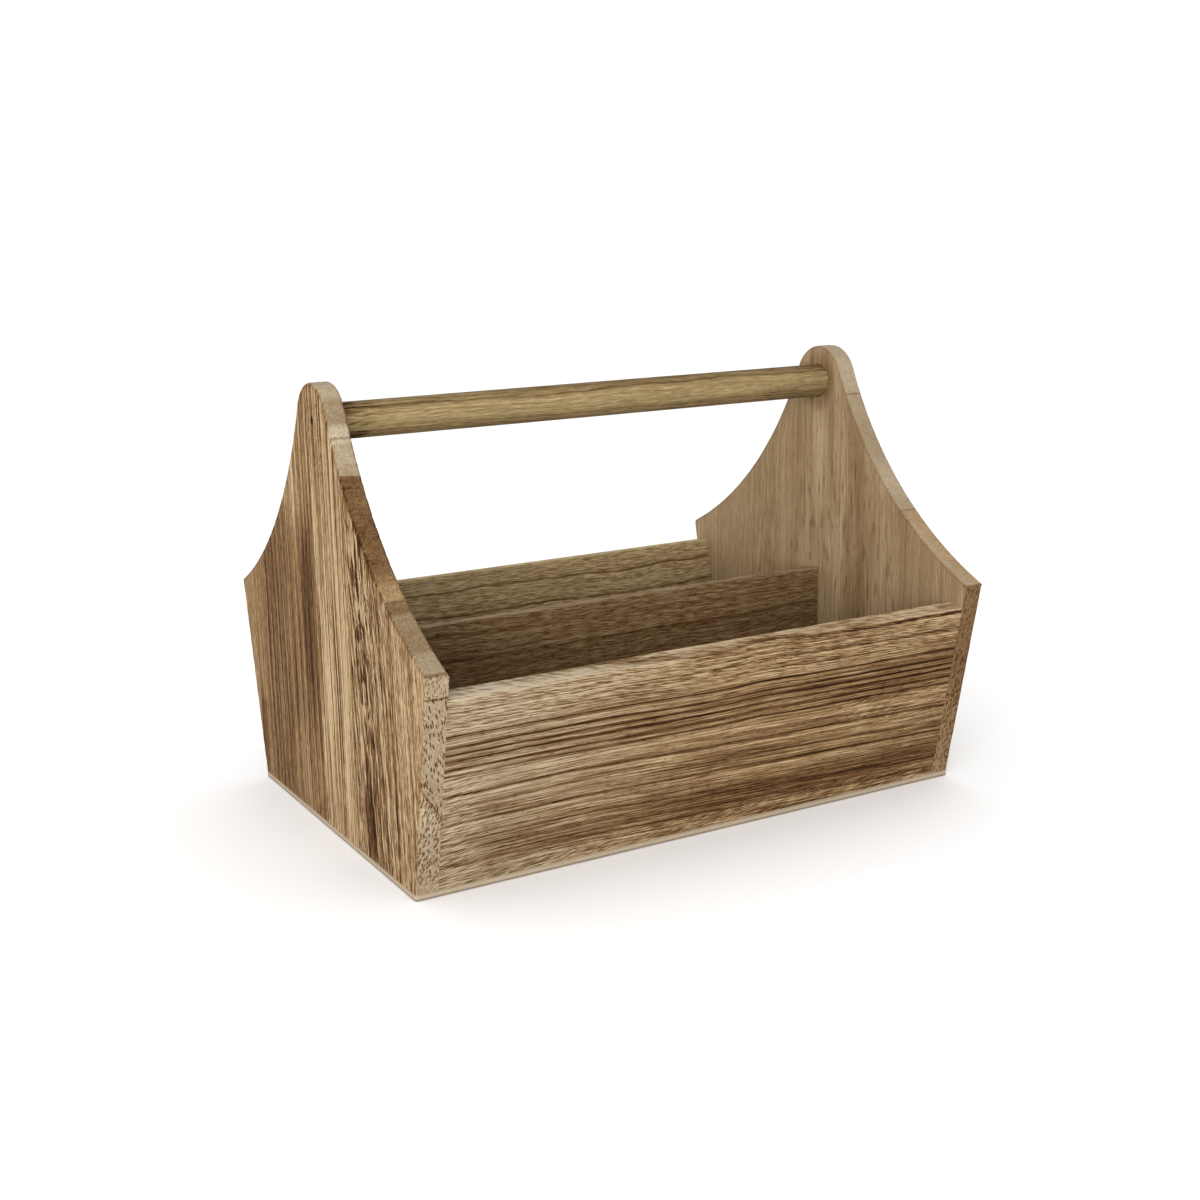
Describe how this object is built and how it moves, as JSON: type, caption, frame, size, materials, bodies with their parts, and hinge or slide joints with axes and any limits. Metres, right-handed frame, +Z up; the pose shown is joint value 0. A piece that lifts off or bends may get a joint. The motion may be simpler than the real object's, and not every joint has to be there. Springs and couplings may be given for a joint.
{
  "type": "condiment caddy",
  "caption": "Open wooden tote for sauce bottles: staved end panels with curved shoulders, leaning front and back boards, a lengthwise divider, a thin bottom and a round carrying bar.",
  "frame": {"origin": "centre of the caddy's footprint, on the surface that it stands on", "axes": "+X along the carrying bar, towards the panel of five staves; +Y from the front board to the back board; +Z up"},
  "size_m": [0.28, 0.2126, 0.2],
  "materials": {
    "end_panel_wood": "torched and wire-brushed softwood, clear matt",
    "side_board_wood": "torched and wire-brushed softwood, clear matt",
    "divider_wood": "torched softwood, clear matt",
    "bottom_ply": "plain thin plywood, sanded",
    "bar_wood": "turned and lightly torched, clear matt",
    "fastener_steel": "dull galvanised wire"
  },
  "bodies": {
    "root": {"left_stave_1": "end_panel_wood", "left_stave_2": "end_panel_wood", "left_stave_3": "end_panel_wood", "left_stave_4": "end_panel_wood", "left_stave_5": "end_panel_wood", "left_stave_6": "end_panel_wood", "right_stave_1": "end_panel_wood", "right_stave_2": "end_panel_wood", "right_stave_3": "end_panel_wood", "right_stave_4": "end_panel_wood", "right_stave_5": "end_panel_wood", "front_board": "side_board_wood", "back_board": "side_board_wood", "divider": "divider_wood", "bottom_board": "bottom_ply", "handle_bar": "bar_wood", "handle_nails": "fastener_steel", "front_board_pins": "fastener_steel", "back_board_pins": "fastener_steel", "divider_pins": "fastener_steel", "bottom_brads": "fastener_steel"}
  },
  "joints": []
}
